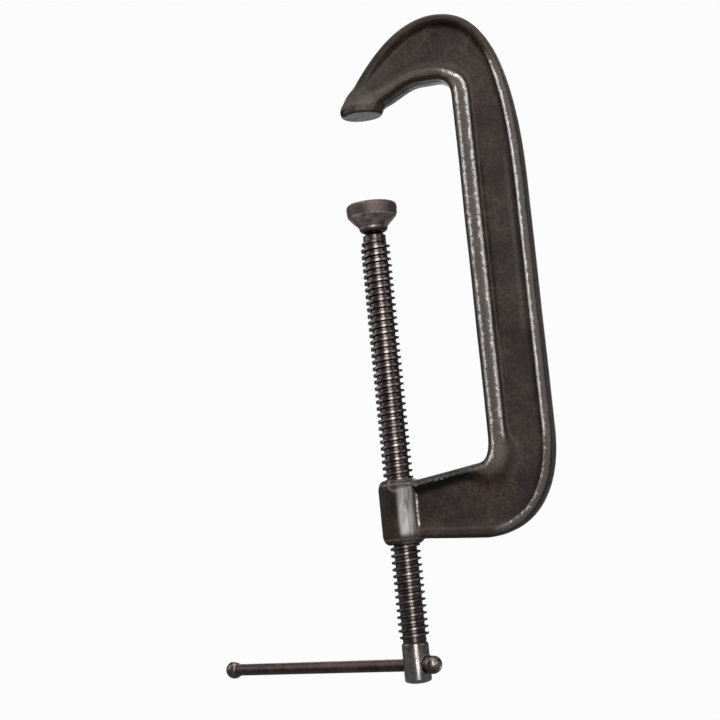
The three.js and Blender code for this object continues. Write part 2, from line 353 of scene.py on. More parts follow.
RIM_HALF_DEPTH = 11.0
WEB_HALF_DEPTH = 6.25
TIP_HALF_DEPTH = 9.4      # at the anvil's end of the upper arm
OUTER_RIM = 5.2           # flat width of the rim along the outer edge
OUTER_WALL = 2.2          # how far the recess's wall leans in from that rim
OUTER_EDGE_ROUND = 2.8
INNER_EDGE_ROUND = 5.0
DRAFT = 0.04              # how fast the edge faces fall away from the parting line
SPINE_RIM = 9.6           # flat width of the rim along the inner edge, on the spine
ARCH_RIM = 5.4            # the same, on the upper arm
LOWER_ARM_RIM = 3.2       # the same, on the lower arm
INNER_WALL = 2.1          # how far the recess's wall leans in from that rim, on the spine
ANVIL_RADIUS = 12.5
ANVIL_THICKNESS = 5.0
ANVIL_FLARE_TOP_Z = 13.0
BOSS_CHAMFER_RADIUS = 2.4     # how far the chamfer at each end cuts into the end face
BOSS_CHAMFER_HEIGHT = 3.4     # and how far along the side it runs
PANEL_X, PANEL_Z = 78, -92            # the middle of the raised panel on the spine's web
PANEL_HALF_X, PANEL_HALF_Z = 4.5, 48
PANEL_HEIGHT = 0.5
MIDDLE_Z = -60            # above it are the anvil, the upper arm and the top of the spine
ARCH_TOP = (49, 53.4)

OUTER_EDGE = np.vstack([
    bezier((-11.5, 3), (8, 36), (30, 52.6), ARCH_TOP),
    bezier(ARCH_TOP, (84, 54.6), (SPINE_OUTER_X, 18), (SPINE_OUTER_X, MIDDLE_Z)),
    bezier((SPINE_OUTER_X, -200), (SPINE_OUTER_X, -239), (80, LOWER_EDGE_Z), (50, LOWER_EDGE_Z)),
    [(0, -258.2)],
])
INNER_EDGE = np.vstack([
    [(0, -225.5)],
    quadratic((51, -217.4), (SPINE_INNER_X, -216.2), (SPINE_INNER_X, -202)),
    quadratic((SPINE_INNER_X, 2), (SPINE_INNER_X, 13.5), (46, 13.5)),
    bezier((38, 13.5), (27, 13.5), (22, 5), (9, 3)),
])
OUTLINE = np.vstack([OUTER_EDGE, INNER_EDGE])


def ripple(x, z, length):
    """A slow, gentle unevenness from -1 to 1, such as a sand mould leaves."""
    return (
        np.sin(x / length + 1.7 * np.sin(z / (1.9 * length)))
        + np.sin(z / (0.8 * length) + 1.3 * np.sin(x / (1.4 * length) + 2.0))
    ) / 2


def at_lower_corner(x, z):
    """1 in the lower corner, where the spine's inner rim runs out, and 0 up the spine and on the arm."""
    return smoothstep(z, -201, -213) * smoothstep(x, 38, 56)


def inner_rim(x, z):
    """The flat width of the rim along the inner edge, and how far the recess's wall leans in from it.
    The rim is broad on the spine, melts into the web at the lower corner, and is narrow with a long
    slope under it on both arms."""
    on_lower_arm = smoothstep(z, -198, -212) * smoothstep(x, 66, 44)
    on_arch = smoothstep(z, 2, 16) * smoothstep(x, 70, 56)
    rim = SPINE_RIM + (LOWER_ARM_RIM - SPINE_RIM) * on_lower_arm + (ARCH_RIM - SPINE_RIM) * on_arch
    wall = INNER_WALL + 3.0 * on_lower_arm * smoothstep(x, 60, 16) + 3.0 * on_arch
    wall += 6.0 * at_lower_corner(x, z)
    return rim, wall


def recess_depth(distance, rim, wall):
    """0 on a rim and 1 down on the web, with both corners eased."""
    return smin(smax((distance - rim) / wall, 0.0, 0.7), 1.0, 0.6)


def panel_height(x, z):
    """The height of the plain raised panel, with round corners, that breaks up the long web."""
    past_x = np.abs(x - PANEL_X) - PANEL_HALF_X
    past_z = np.abs(z - PANEL_Z) - PANEL_HALF_Z
    outside = np.hypot(np.maximum(past_x, 0), np.maximum(past_z, 0))
    distance = outside + np.minimum(np.maximum(past_x, past_z), 0)
    return PANEL_HEIGHT * smoothstep(distance, 3.4, 2.2)


def half_depth(x, z, from_outer, from_inner):
    """Half the frame's depth along Y at each place: rims, recess walls and web."""
    near_tip = smoothstep(x, 30, 0) * (z > MIDDLE_Z)
    rim = RIM_HALF_DEPTH + (TIP_HALF_DEPTH - RIM_HALF_DEPTH) * near_tip
    web = WEB_HALF_DEPTH + (TIP_HALF_DEPTH - 0.8 - WEB_HALF_DEPTH) * near_tip
    # Along the bottom of the lower arm the outer rim is low, and its wall is a long slope.
    low = smoothstep(z, -190, -235) * smoothstep(x, 78, 40)
    lower_rim = web + (rim - web) * (1 - 0.6 * low)
    raised = smax(
        (lower_rim - web) * (1 - recess_depth(from_outer, OUTER_RIM - 1.5 * low, OUTER_WALL + 4 * low)),
        (rim - web) * (1 - recess_depth(from_inner, *inner_rim(x, z))),
        0.6,
    )
    return np.minimum(web + raised + panel_height(x, z) + 0.12 * ripple(x, z, 9.0), rim)


def edge_distances(x, z):
    """How deep each place lies inside the outline, and how far from its outer and inner edges."""
    from_outer = distance_to(OUTER_EDGE, x, z)
    from_inner = distance_to(INNER_EDGE, x, z)
    nearest = np.minimum(from_outer, from_inner)
    return np.where(inside(OUTLINE, x, z), nearest, -nearest), from_outer, from_inner


def boss_field(radius, z):
    """The boss's cylinder with a chamfer at each end."""
    side = radius - BOSS_RADIUS
    end = np.abs(z - (BOSS_TOP_Z + BOSS_BOTTOM_Z) / 2) - (BOSS_TOP_Z - BOSS_BOTTOM_Z) / 2
    chamfer = side * BOSS_CHAMFER_HEIGHT + (end + BOSS_CHAMFER_HEIGHT) * BOSS_CHAMFER_RADIUS
    chamfer /= math.hypot(BOSS_CHAMFER_HEIGHT, BOSS_CHAMFER_RADIUS)
    return smax(smax(side, end, 0.8), chamfer, 1.6)


def anvil_field(radius, z):
    """The anvil's disc, the cone that carries it into the arm, and the eased edge of its face."""
    side, above_disc = radius - ANVIL_RADIUS, z - ANVIL_THICKNESS
    disc = smax(side, above_disc, 1.0)
    cone = (2 * side + above_disc) / math.sqrt(5)
    flare = smax(smax(cone, z - ANVIL_FLARE_TOP_Z, 2.0), side, 1.0)
    edge = (side - z + 0.8) / math.sqrt(2)
    return smax(smin(disc, flare, 1.0), edge, 0.5)


def frame_field(x, y, z):
    """Below 0 inside the casting, and close to a plain distance near every surface."""
    if x.ndim == 3:
        flat = edge_distances(x[:, 0, :], z[:, 0, :])
        depth, from_outer, from_inner = (part[:, None, :] for part in flat)
        sides = half_depth(x[:, :1, :], z[:, :1, :], from_outer, from_inner)
    else:
        depth, from_outer, from_inner = edge_distances(x, z)
        sides = half_depth(x, z, from_outer, from_inner)
    by_inner = smoothstep(from_outer - from_inner, -4, 4) * smoothstep(from_inner, 12, 8)
    edge_round = OUTER_EDGE_ROUND + (INNER_EDGE_ROUND - OUTER_EDGE_ROUND) * by_inner
    # The edges fall away a little on both sides of the mould's parting line, which stands proud.
    inset = 0.25 + 0.12 * ripple(x, z, 13.0) - 0.12 * peak(y, 0, 0.9)
    bar = smax(np.abs(y) - sides, DRAFT * np.abs(y) + inset - depth, edge_round)
    radius = np.hypot(x, y)
    whole = smin(bar, boss_field(radius, z), 1.2)
    whole = smin(whole, anvil_field(radius, z), 4.0)
    # The anvil's face is flat, and nothing is lower than the lower arm's bottom edge.
    whole = np.where((x < 40) & (z > MIDDLE_Z), np.maximum(whole, -z), whole)
    return np.maximum(whole, LOWER_EDGE_Z - z)


def boss_wear_and_highlights(x, y, z):
    """Wear at the boss's chamfers, a painted highlight line in its corner with the arm, and how far a hand
    has rubbed it on one side of its front, most towards its foot, a band that is also a painted highlight."""
    from_chamfer = np.minimum(np.abs(z - BOSS_TOP_Z + 3.0), np.abs(z - BOSS_BOTTOM_Z - 3.0))
    between = smoothstep(from_chamfer, 0.3, 5)
    turn = np.degrees(np.arctan2(x, -y))      # 0 in front, and 90 towards the spine
    # The band is partly rubbed finish and partly a painted highlight, stronger on the side towards the
    # front and towards the boss's foot.
    rub_and_highlight = smoothstep(turn, -3, 15) * smoothstep(turn, 55, 47) * between
    rub_and_highlight *= (1 - 0.35 * smoothstep(turn, 22, 48)) * (0.6 + 0.4 * smoothstep(z, -228, -248))
    # The bands at the chamfers are wear; the line at 58.5 degrees, in the corner with the arm, is a
    # painted highlight.
    wear_and_highlight = np.maximum(0.35 * band(from_chamfer, 0, 1.3), 0.75 * peak(turn, 58.5, 3.0) * between)
    return wear_and_highlight, rub_and_highlight


def frame_wear_and_painted_light(v):
    """Wear along the casting's raised corners; on the boss, wear with a painted highlight line and a
    rubbed band that is also a painted highlight; and painted shade under the lower arm's top rim.
    """
    x, y, z = v.T
    depth, from_outer, from_inner = edge_distances(x, z)
    sides = half_depth(x, z, from_outer, from_inner)
    below_side, below_edge = sides - np.abs(y), depth - DRAFT * np.abs(y)
    rim = inner_rim(x, z)[0]
    off_corner = 1 - at_lower_corner(x, z)
    on_boss = (np.hypot(x, y) < BOSS_RADIUS + 0.7) * (z < MIDDLE_Z)

    edge = 0.12 * band(below_side, below_edge, 1.2) * (below_edge < 2.2)
    inner_corner = 0.76 * band(from_inner, 4.0, 1.2, 1.25) * smoothstep(below_side, 1.4, 0.8)
    inner_corner *= smoothstep(z, 16, 4) * np.maximum(smoothstep(x, 48, 58), 0.45 * (z < -190))

    raised = smoothstep(sides, WEB_HALF_DEPTH + 1.0, RIM_HALF_DEPTH - 0.6) * (below_side < 0.8)
    raised *= (1 - on_boss) * (1 - 0.6 * smoothstep(z, 6, 30))
    inner_ledge = 0.82 * band(from_inner, rim + 0.4, 1.6, 1.25) * (0.1 + 0.9 * off_corner)
    outer_ledge = 0.96 * band(from_outer, OUTER_RIM - 0.1, 1.3, 1.3)
    ledge = np.maximum(inner_ledge, outer_ledge) * smoothstep(raised, 0.1, 0.7)
    # The rubbing is weaker round the heel, and fades out over the arch and along both arms.
    ledge *= smoothstep(z, 34, 8) * smoothstep(x, 42, 60) * (1 - 0.48 * smoothstep(z, -192, -218))

    lower_slope = 0.17 * band(from_outer, 6, 2.4) * smoothstep(z, -236, -246) * (x > 9)
    # The boss's marks carry a painted highlight line and a band of rubbed finish with a painted highlight.
    boss, rub_and_highlight = boss_wear_and_highlights(x, y, z)
    wear = np.maximum.reduce([edge, inner_corner, ledge, 0.22 * raised, lower_slope, boss * on_boss])

    # Painted shade: the corner under the lower arm's top rim, where the downward-facing wall and the web
    # beside it lie in shadow, is darkened.
    under_rim_shade = smoothstep(from_inner, rim + 0.1, rim + 1.2) * smoothstep(from_inner, rim + 8.0, rim + 4.4)
    under_rim_shade *= smoothstep(z, -204, -214) * off_corner * (1 - on_boss)
    return wear, rub_and_highlight * on_boss, under_rim_shade


GRID_STEP = 0.75
STRAIGHT_STEP = 3.0       # along the middle of the spine, where its section hardly changes
STRAIGHT_FROM_Z, STRAIGHT_TO_Z = -192.0, -24.0


def grid_lines(low, high):
    """Evenly spaced lines from low to high, about one grid step apart."""
    return np.linspace(low, high, int(round((high - low) / GRID_STEP)) + 1)


def build_frame():
    """The casting, made as the surface of its field, with the thread cut through its boss."""
    xs = grid_lines(FRAME_LOW[0] - 1, FRAME_HIGH[0] + 1.5)
    ys = grid_lines(FRAME_LOW[1] - 1, FRAME_HIGH[1] + 1)
    zs = np.concatenate([
        np.arange(FRAME_LOW[2] - 1.5, STRAIGHT_FROM_Z, GRID_STEP),
        np.arange(STRAIGHT_FROM_Z, STRAIGHT_TO_Z, STRAIGHT_STEP),
        np.arange(STRAIGHT_TO_Z, FRAME_HIGH[2] + 1.5 + GRID_STEP, GRID_STEP),
    ])
    vertices, quads = surface_net(frame_field, xs, ys, zs)
    vertices = settled(frame_field, vertices)
    piece = new_piece("cast_frame", vertices, quads.tolist(), 60)
    combined(piece, build_tap(), "DIFFERENCE")
    without_slivers(piece)
    shade(piece, 50)
    # The frame's three amounts: wear (with a painted highlight line on the boss), rubbed finish with a
    # painted highlight on the boss, and painted shade under the lower arm's top rim.
    for name, values in zip(("wear", "rub_and_highlight", "under_rim_shade"), frame_wear_and_painted_light(vertex_array(piece))):
        store_vertex_amount(piece, values, name)
    return piece


# ---------------------------------------------------------------- threads

PITCH = 4.0
CREST_RADIUS = SCREW_HIGH[0]
ROOT_RADIUS = 7.0
TOOTH_ROOT_HALF = 1.3     # half a tooth's width at its root and at its crest
TOOTH_CREST_HALF = 0.65
TEETH = 60
THREAD_SEGMENTS = 48
CONE_TOP_Z = BALL_Z - 9.2
THREAD_TOP_Z = CONE_TOP_Z - 1.4
THREAD_START_Z = THREAD_TOP_Z - PITCH * (TEETH + 1) + TOOTH_ROOT_HALF
TAP_RADIAL_GAP = 0.4
TAP_FLANK_GAP = 0.3


def tooth(root, crest, root_half, crest_half, steps=4):
    """One tooth as (offset along the axis, radius), from one foot to the other, eased at its corners."""
    flank = []
    for t in np.linspace(0, 1, steps + 1):
        eased = t * t * (3 - 2 * t)
        flank.append((-root_half + (root_half - crest_half) * t, root + (crest - root) * eased))
    return flank + [(-offset, radius) for offset, radius in reversed(flank)]


def threaded_rod(name, profile, low_z, start_z, turns, high_z, fade_turns=0.75):
    """A closed rod with a right-hand thread whose first and last teeth fade into the core."""
    n, last, columns = THREAD_SEGMENTS, turns * THREAD_SEGMENTS, len(profile)
    root = profile[0][1]
    vertices, faces = [], []

    def point(step, radius, z):
        angle = TURN * (step % n) / n
        vertices.append((radius * math.cos(angle), radius * math.sin(angle), z))
        return len(vertices) - 1

    root_line = [point(s, root, start_z + PITCH * s / n + profile[0][0]) for s in range(last + n + 1)]
    teeth = []
    for step in range(last + 1):
        fade = min(step, last - step, fade_turns * n) / (fade_turns * n)
        z = start_z + PITCH * step / n
        teeth.append([point(step, root + (r - root) * fade, z + offset) for offset, r in profile[1:]])

    def chain(step):
        return [root_line[step], *teeth[step], root_line[step + n]]

    for step in range(last):
        here, there = chain(step), chain(step + 1)
        for j in range(columns):
            faces.append((here[j], there[j], there[j + 1], here[j + 1]))
    bottom = [point(step, root, low_z) for step in range(n)]
    top = [point(step, root, high_z) for step in range(n)]
    faces.append(tuple(reversed(bottom)))
    faces.append(tuple(top))
    for step in range(n - 1):
        faces.append((bottom[step], bottom[step + 1], root_line[step + 1], root_line[step]))
    for step in range(1, n):
        after = top[(step + 1) % n]
        faces.append((root_line[last + step], root_line[last + step + 1], after, top[step]))
    # What is left is the facet beside the first tooth's end, and the one beside the last tooth's.
    faces.append((bottom[n - 1], bottom[0], *chain(0), root_line[n - 1]))
    faces.append((top[1], top[0], *reversed(chain(last)), root_line[last + 1]))
    return new_piece(name, vertices, faces)


def build_tap():
    """The shape that a tap leaves in the boss: the screw's thread with room round it, in step with it."""
    profile = tooth(
        ROOT_RADIUS + TAP_RADIAL_GAP,
        CREST_RADIUS + TAP_RADIAL_GAP,
        TOOTH_ROOT_HALF + TAP_FLANK_GAP,
        TOOTH_CREST_HALF + TAP_FLANK_GAP,
        steps=3,
    )
    pitches_down = math.floor((LOWER_EDGE_Z - 12 - THREAD_START_Z) / PITCH)
    start_z = THREAD_START_Z + pitches_down * PITCH
    return threaded_rod("tap", profile, LOWER_EDGE_Z - 20, start_z, turns=16, high_z=BOSS_TOP_Z + 20)


# ---------------------------------------------------------------- screw

NECK_RADIUS = 3.6
BALL_RADIUS = SCREW_HIGH[2] - BALL_Z
HEAD_RADIUS = 8.0
HEAD_TOP_Z = -318.4
BAR_HOLE_RADIUS = 4.1


def screw_wear(v):
    """Wear on the thread's crests, on the head and round the rim of its end."""
    radius, z = np.hypot(v[:, 0], v[:, 1]), v[:, 2]
    crest = smoothstep(radius, CREST_RADIUS - 0.8, CREST_RADIUS - 0.1)
    crest *= smoothstep(z, HEAD_TOP_Z, HEAD_TOP_Z + 3)
    rim = peak(z, SCREW_LOW[2] + 1.6, 0.7) * (radius > HEAD_RADIUS - 1.6)
    head = smoothstep(z, HEAD_TOP_Z + 1, HEAD_TOP_Z - 3) * (radius > HEAD_RADIUS - 1.2)
    return np.maximum.reduce([0.33 * crest, 0.5 * rim, 0.46 * head])


def build_screw():
    """The threaded rod, with the neck and ball joined on above and the drilled head below."""
    profile = tooth(ROOT_RADIUS, CREST_RADIUS, TOOTH_ROOT_HALF, TOOTH_CREST_HALF)
    screw = threaded_rod(
        "screw_spindle", profile, HEAD_TOP_Z - 6, THREAD_START_Z, turns=TEETH, high_z=THREAD_TOP_Z + 0.4,
    )
    neck_depth = math.sqrt(BALL_RADIUS ** 2 - NECK_RADIUS ** 2)
    tip_profile = rounded([
        (0, THREAD_TOP_Z - 3),
        (ROOT_RADIUS - 0.2, THREAD_TOP_Z - 3),
        (ROOT_RADIUS - 0.2, THREAD_TOP_Z),
        (ROOT_RADIUS - 1.2, CONE_TOP_Z),
        (NECK_RADIUS, CONE_TOP_Z + 0.4),
        (NECK_RADIUS, BALL_Z - neck_depth),
    ], 0.5)
    tip_profile += arc(BALL_RADIUS, BALL_Z, -neck_depth + 0.1, BALL_RADIUS, 16)
    combined(screw, new_piece("tip", *turned(tip_profile, 64)), "UNION")

    end = SCREW_LOW[2]
    head_profile = rounded([
        (0, end),
        (4.0, end + 0.15),
        (HEAD_RADIUS - 0.9, end + 1.0),
        (HEAD_RADIUS, end + 2.0),
        (HEAD_RADIUS, HEAD_TOP_Z - 1.2),
        (ROOT_RADIUS - 0.3, HEAD_TOP_Z + 0.2),
        (0, HEAD_TOP_Z + 0.2),
    ], 0.8)
    combined(screw, new_piece("head", *turned(head_profile, 96)), "UNION")

    # The cross hole, flared and eased at both mouths.
    mouth, past_head = HEAD_RADIUS - 1.0, HEAD_RADIUS + 4
    hole_profile = [
        (0, -past_head),
        (BAR_HOLE_RADIUS + 4.2, -past_head),
        (BAR_HOLE_RADIUS, -mouth),
        (BAR_HOLE_RADIUS, mouth),
        (BAR_HOLE_RADIUS + 4.2, past_head),
        (0, past_head),
    ]
    vertices, faces = turned(rounded(hole_profile, 1.2), 64)
    combined(screw, new_piece("hole", along_bar(vertices), faces), "DIFFERENCE")
    without_slivers(screw)
    shade(screw, 40)
    store_vertex_amount(screw, screw_wear(vertex_array(screw)))
    return screw


# ---------------------------------------------------------------- pad and ring

PAD_RADIUS = PAD_HIGH[0]
PAD_FACE_Z = PAD_HIGH[2]
PAD_FOOT_Z = PAD_LOW[2]
RIM_HEIGHT = 8.0          # from the face down to the rim's bottom edge
CONE_HEIGHT = 14.6        # from the face down to the cone's foot, at the collar
COLLAR_RADIUS = 8.6
SOCKET_RADIUS = 6.0
POCKET_RADIUS = 7.5
POCKET_TOP = -0.6         # from the ball's centre
MOUTH_RADIUS = 5.3
RING_INNER_RADIUS = 6.0
RING_OUTER_RADIUS = 7.1
RING_BOTTOM, RING_TOP = -4.4, -1.9        # from the ball's centre
RING_SPLIT = 1.4


def pad_wear_and_fill_light(v):
    """Wear round the rim's top and bottom edges, and on the cone under it a lighter finish that is partly
    wear and partly painted light from below on that downward-facing surface.
    """
    radius, above_face = np.hypot(v[:, 0], v[:, 1]), v[:, 2] - PAD_FACE_Z
    rim_foot = -RIM_HEIGHT - 0.2
    edges = np.maximum(0.4 * peak(above_face, -0.7, 0.6), 0.8 * peak(above_face, rim_foot, 0.6))
    # Painted light: the downward-facing cone is lightened as if lit from below, on top of its wear.
    cone = 0.46 * smoothstep(above_face, rim_foot, rim_foot - 1.2) * smoothstep(above_face, -16.2, -15.0)
    return np.maximum(edges * (radius > PAD_RADIUS - 2.2), cone * (radius > COLLAR_RADIUS - 1.5))


def build_pad():
    """The pad, turned: socket, ring pocket and mouth inside, and collar, cone and rim outside."""
    pocket_depth = math.sqrt(POCKET_RADIUS ** 2 - MOUTH_RADIUS ** 2)
    socket = arc(SOCKET_RADIUS, BALL_Z, POCKET_TOP, SOCKET_RADIUS, 12)
    pocket = arc(POCKET_RADIUS, BALL_Z, -pocket_depth, POCKET_TOP, 8)
    outside = rounded([
        (MOUTH_RADIUS, BALL_Z - pocket_depth - 0.6),
        (MOUTH_RADIUS + 0.7, PAD_FOOT_Z),
        (COLLAR_RADIUS - 1.3, PAD_FOOT_Z),
        (COLLAR_RADIUS, PAD_FOOT_Z + 1.5),
        (COLLAR_RADIUS, PAD_FACE_Z - CONE_HEIGHT),
        (PAD_RADIUS - 0.5, PAD_FACE_Z - RIM_HEIGHT),
        (PAD_RADIUS - 0.05, PAD_FACE_Z - 2.6),
        (PAD_RADIUS - 0.5, PAD_FACE_Z - 1.0),
        (PAD_RADIUS - 1.7, PAD_FACE_Z),
        (9.5, PAD_FACE_Z),
    ], 0.9)
    # A shallow groove goes round the gripping face.
    face = [(9.1, PAD_FACE_Z - 0.25), (8.7, PAD_FACE_Z - 0.25), (8.3, PAD_FACE_Z), (0, PAD_FACE_Z)]
    # From the socket's roof down through the pocket and the mouth, then up the outside to the face.
    profile = list(reversed(socket)) + list(reversed(pocket)) + outside + face
    pad = new_piece("pad_body", *turned(profile, 96), 35)
    store_vertex_amount(pad, pad_wear_and_fill_light(vertex_array(pad)))
    return pad


def build_ring():
    """A split spring ring under the ball, with its inner and outer faces curved like the ball."""
    outer_face = arc(RING_OUTER_RADIUS, BALL_Z, RING_BOTTOM, RING_TOP, 3)
    inner_face = arc(RING_INNER_RADIUS, BALL_Z, RING_BOTTOM, RING_TOP, 3)
    section = rounded(outer_face + inner_face[::-1], 0.25)
    steps = 64
    half_split = math.asin(RING_SPLIT / 2 / RING_OUTER_RADIUS)
    vertices, faces = [], []
    size = len(section)
    for step in range(steps + 1):
        angle = half_split + (TURN - 2 * half_split) * step / steps
        vertices += [(r * math.cos(angle), r * math.sin(angle), z) for r, z in section]
    for step in range(steps):
        for j in range(size):
            here, there = step * size, (step + 1) * size
            k = (j + 1) % size
            faces.append((here + j, there + j, there + k, here + k))
    faces.append(tuple(range(size)))
    faces.append(tuple(reversed(range(steps * size, (steps + 1) * size))))
    ring = new_piece("pad_ring_spring", vertices, faces)
    store_vertex_amount(ring, np.zeros(len(vertices)))
    return ring


# ---------------------------------------------------------------- tommy bar and knobs

BAR_RADIUS = 3.75
TENON_RADIUS = 2.4
KNOB_RADIUS = 5.6
KNOB_INNER_FLAT = 4.1
KNOB_OUTER_FLAT = 4.7


def knob_place(node):
    """How far a knob's centre lies along the bar from the screw's axis."""
    low, high = box_mm(node)
    along = float(np.dot(((low + high) / 2)[:2], BAR_AXIS[:2]))
    return along - math.copysign((KNOB_OUTER_FLAT - KNOB_INNER_FLAT) / 2, along)


NEAR_KNOB = knob_place("bar_knob_near")
FAR_KNOB = knob_place("bar_knob_far")


def build_bar():
    """The rod, turned down at both ends to a tenon that reaches through its knob."""
    near, far = NEAR_KNOB + KNOB_INNER_FLAT, FAR_KNOB - KNOB_INNER_FLAT
    profile = rounded([
        (0, NEAR_KNOB - KNOB_OUTER_FLAT),
        (TENON_RADIUS - 0.6, NEAR_KNOB - KNOB_OUTER_FLAT + 0.1),
        (TENON_RADIUS, NEAR_KNOB - KNOB_OUTER_FLAT + 0.7),
        (TENON_RADIUS, near - 0.2),
        (BAR_RADIUS, near + 0.2),
        (BAR_RADIUS, far - 0.2),
        (TENON_RADIUS, far + 0.2),
        (TENON_RADIUS, FAR_KNOB + KNOB_OUTER_FLAT - 0.7),
        (TENON_RADIUS - 0.6, FAR_KNOB + KNOB_OUTER_FLAT - 0.1),
        (0, FAR_KNOB + KNOB_OUTER_FLAT),
    ], 0.4)
    vertices, faces = turned(profile, 48)
    bar = new_piece("bar_rod", along_bar(vertices), faces)
    past_end = np.maximum(NEAR_KNOB - vertices[:, 2], vertices[:, 2] - FAR_KNOB)
    store_vertex_amount(bar, np.where(past_end > KNOB_INNER_FLAT - 0.5, 0.55, 0.0))
    return bar


def build_knob(name, place):
    """A ball bored through for the bar's tenon, with a flat against the bar and one at its outer end."""
    outward = math.copysign(1, place)
    bore = TENON_RADIUS + 0.05
    ball = arc(KNOB_RADIUS, 0, -KNOB_INNER_FLAT + 0.2, KNOB_OUTER_FLAT - 0.3, 20)
    loop = rounded([
        (bore, -KNOB_INNER_FLAT),
        (KNOB_RADIUS * 0.66, -KNOB_INNER_FLAT),
        *ball,
        (2.9, KNOB_OUTER_FLAT - 0.25),
        (bore, KNOB_OUTER_FLAT - 0.6),
    ], 0.25)
    if outward < 0:
        loop = [(radius, -z) for radius, z in reversed(loop)]
    vertices, faces = turned([(radius, place + z) for radius, z in loop], 56, closed=True)
    knob = new_piece(name, along_bar(vertices), faces)
    reach = outward * (vertices[:, 2] - place)
    store_vertex_amount(knob, 0.45 * smoothstep(reach, KNOB_OUTER_FLAT - 1.5, KNOB_OUTER_FLAT - 0.4))
    return knob


# ---------------------------------------------------------------- materials

class Nodes:
    """A short way to write a material's node tree."""

    def __init__(self, name):
        self.material = bpy.data.materials.new(name)
        self.material.use_nodes = True
        self.tree = self.material.node_tree
        self.shader = self.tree.nodes["Principled BSDF"]
        self.place = self.add("ShaderNodeTexCoord").outputs["Object"]

    def add(self, kind, links=(), **settings):
        """A new node with its settings, and with a value or a link for each socket that is named."""
        node = self.tree.nodes.new(kind)
        for key, value in settings.items():
            setattr(node, key, value)
        for socket, source in dict(links).items():
            self.put(node, socket, source)
        return node

    def put(self, node, socket, source):
        """A link from another node's output, or else a fixed value, for one socket."""
        target = node.inputs[socket]
        if isinstance(source, bpy.types.NodeSocket):
            self.tree.links.new(source, target)
        else:
            target.default_value = source

    def noise(self, scale, detail=4.0, roughness=0.55, place=None):
        links = {"Vector": place or self.place, "Scale": scale, "Detail": detail, "Roughness": roughness}
        return self.add("ShaderNodeTexNoise", links).outputs["Fac"]

    def ranged(self, value, low, high, to_low=0.0, to_high=1.0):
        """A smooth rise or fall of the result while the value goes from low to high."""
        links = {"Value": value, "From Min": low, "From Max": high, "To Min": to_low, "To Max": to_high}
        return self.add("ShaderNodeMapRange", links, interpolation_type="SMOOTHSTEP").outputs["Result"]

    def math(self, operation, a, b):
        return self.add("ShaderNodeMath", {0: a, 1: b}, operation=operation).outputs[0]

    def mixed(self, factor, a, b):
        """A mix of two colours. The node's colour sockets are its inputs 6 and 7 and its output 2."""
        links = {"Factor": factor, 6: a, 7: b}
        return self.add("ShaderNodeMix", links, data_type="RGBA").outputs[2]

    def mark(self, name):
        """The amount that store_vertex_amount stored at each vertex under this name."""
        return self.add("ShaderNodeAttribute", attribute_name=name).outputs["Fac"]

    def stretched(self, scale):
        """The place on the piece, scaled by a different amount along each axis."""
        return self.add("ShaderNodeMapping", {"Vector": self.place, "Scale": scale}).outputs["Vector"]

    def bump(self, height, distance, strength, before=None):
        links = {"Height": height, "Distance": distance, "Strength": strength}
        if before is not None:
            links["Normal"] = before
        return self.add("ShaderNodeBump", links).outputs["Normal"]


def colour(red, green, blue):
    return (red, green, blue, 1.0)


def cast_iron():
    """Dark baked finish over an as-cast skin, rubbed to bare iron along its raised corners, with painted
    shade under the lower arm's top rim and a painted highlight on the boss.
    """
    dark_brown, brown = colour(0.0098, 0.0063, 0.0048), colour(0.0300, 0.0187, 0.0136)
    light_brown, near_black = colour(0.054, 0.0355, 0.0260), colour(0.0040, 0.0027, 0.0022)
    pale_grain, rubbed_grey = colour(0.056, 0.0420, 0.0340), colour(0.096, 0.086, 0.076)
    painted_shade_colour, bare_iron = colour(0.0022, 0.0018, 0.0016), colour(0.66, 0.65, 0.64)

    n = Nodes("frame_iron")
    broad, patches = n.noise(26, 4), n.noise(120, 6, 0.65)
    mottle, grain = n.noise(520, 5, 0.7), n.noise(1500, 3, 0.6)
    finish = n.mixed(n.ranged(broad, 0.35, 0.66), dark_brown, brown)
    finish = n.mixed(n.ranged(patches, 0.48, 0.78, 0.0, 0.6), finish, light_brown)
    finish = n.mixed(n.ranged(mottle, 0.38, 0.62, 0.7, 0.0), finish, near_black)
    finish = n.mixed(n.ranged(grain, 0.55, 0.75, 0.0, 0.4), finish, pale_grain)

    wear_and_highlight, rub_and_highlight, under_rim_shade = n.mark("wear"), n.mark("rub_and_highlight"), n.mark("under_rim_shade")
    finish = n.mixed(n.ranged(wear_and_highlight, 0.05, 0.35, 0.0, 0.55), finish, rubbed_grey)
    # Painted shade darkens the finish under the lower arm's top rim.
    finish = n.mixed(n.math("MULTIPLY", under_rim_shade, 0.93), finish, painted_shade_colour)
    broken = n.math("ADD", wear_and_highlight, n.ranged(n.noise(420, 6, 0.8), 0.3, 0.7, -0.44, 0.31))
    # Where a hand holds the boss the finish is rubbed thin in upright streaks; the same band is also a
    # painted highlight.
    streaks = n.noise(300, 5, 0.6, n.stretched((1.0, 1.0, 0.11)))
    wiped_and_highlight = n.math("MULTIPLY", rub_and_highlight, n.ranged(streaks, 0.34, 0.66, 0.08, 0.43))
    bare = n.math("MAXIMUM", n.ranged(broken, 0.36, 0.95, 0.0, 0.95), wiped_and_highlight)
    n.put(n.shader, "Base Color", n.mixed(bare, finish, bare_iron))
    n.put(n.shader, "Metallic", n.ranged(bare, 0.0, 0.8, 0.0, 0.85))
    roughness = n.ranged(patches, 0.3, 0.75, 0.36, 0.50)
    n.put(n.shader, "Roughness", n.math("ADD", roughness, n.math("MULTIPLY", grain, 0.08)))
    skin = n.bump(n.noise(560, 4, 0.6), 0.00022, 0.5)
    n.put(n.shader, "Normal", n.bump(grain, 0.00010, 0.6, skin))
    n.put(n.shader, "Specular IOR Level", 0.13)
    return n.material


